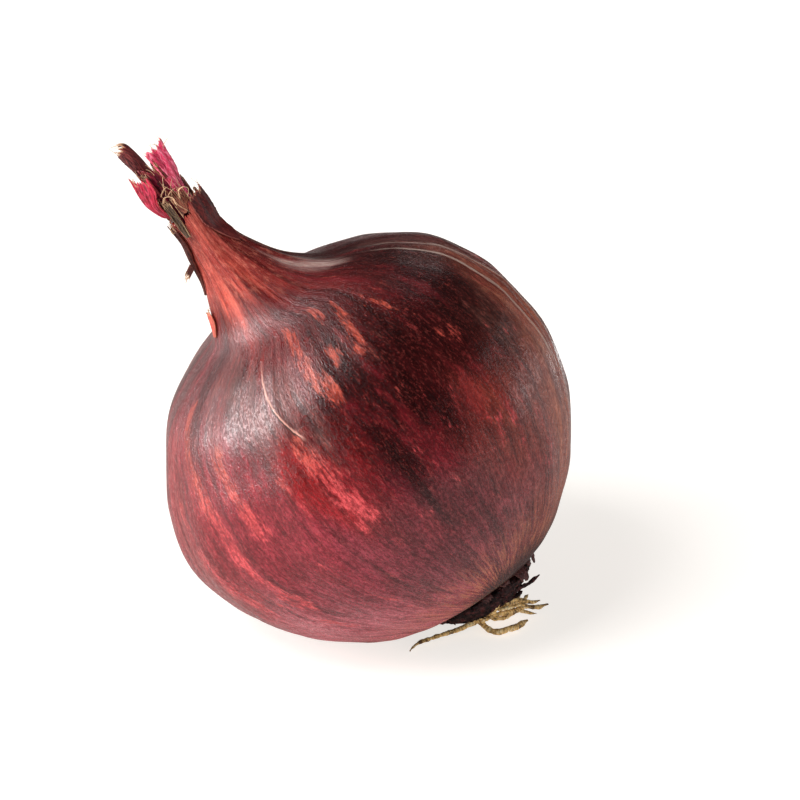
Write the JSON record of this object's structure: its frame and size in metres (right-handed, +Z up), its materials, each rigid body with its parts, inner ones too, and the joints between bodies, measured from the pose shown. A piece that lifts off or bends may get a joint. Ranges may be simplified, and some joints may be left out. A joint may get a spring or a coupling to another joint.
{
  "type": "red onion",
  "caption": "Whole red onion lying tilted, with a glossy ribbed skin, torn dried leaves in its neck, a dark root plate and a tuft of dried roots.",
  "frame": {"origin": "on the surface that the onion rests on, within its small flat resting spot", "axes": "+Z is up, the neck leans from the vertical towards -X, and the root end points towards +X and down"},
  "size_m": [0.0791, 0.0759, 0.0936],
  "materials": {
    "skin": "gloss",
    "magenta": "satin",
    "maroon": "satin",
    "pink": "satin",
    "rust": "matte",
    "brown": "matte",
    "tan": "matte",
    "salmon": "satin",
    "crust": "matte",
    "root": "matte"
  },
  "bodies": {
    "root": {"bulb": "skin", "leaf_magenta": "magenta", "leaf_maroon": "maroon", "leaf_pink": "pink", "leaf_rust": "rust", "leaf_brown": "brown", "sheath_right": "maroon", "sheath_back": "rust", "strip_left": "brown", "scrap_tan": "tan", "collar_tan": "tan", "flap_salmon": "salmon", "root_plate": "crust", "roots": "root"}
  },
  "joints": []
}
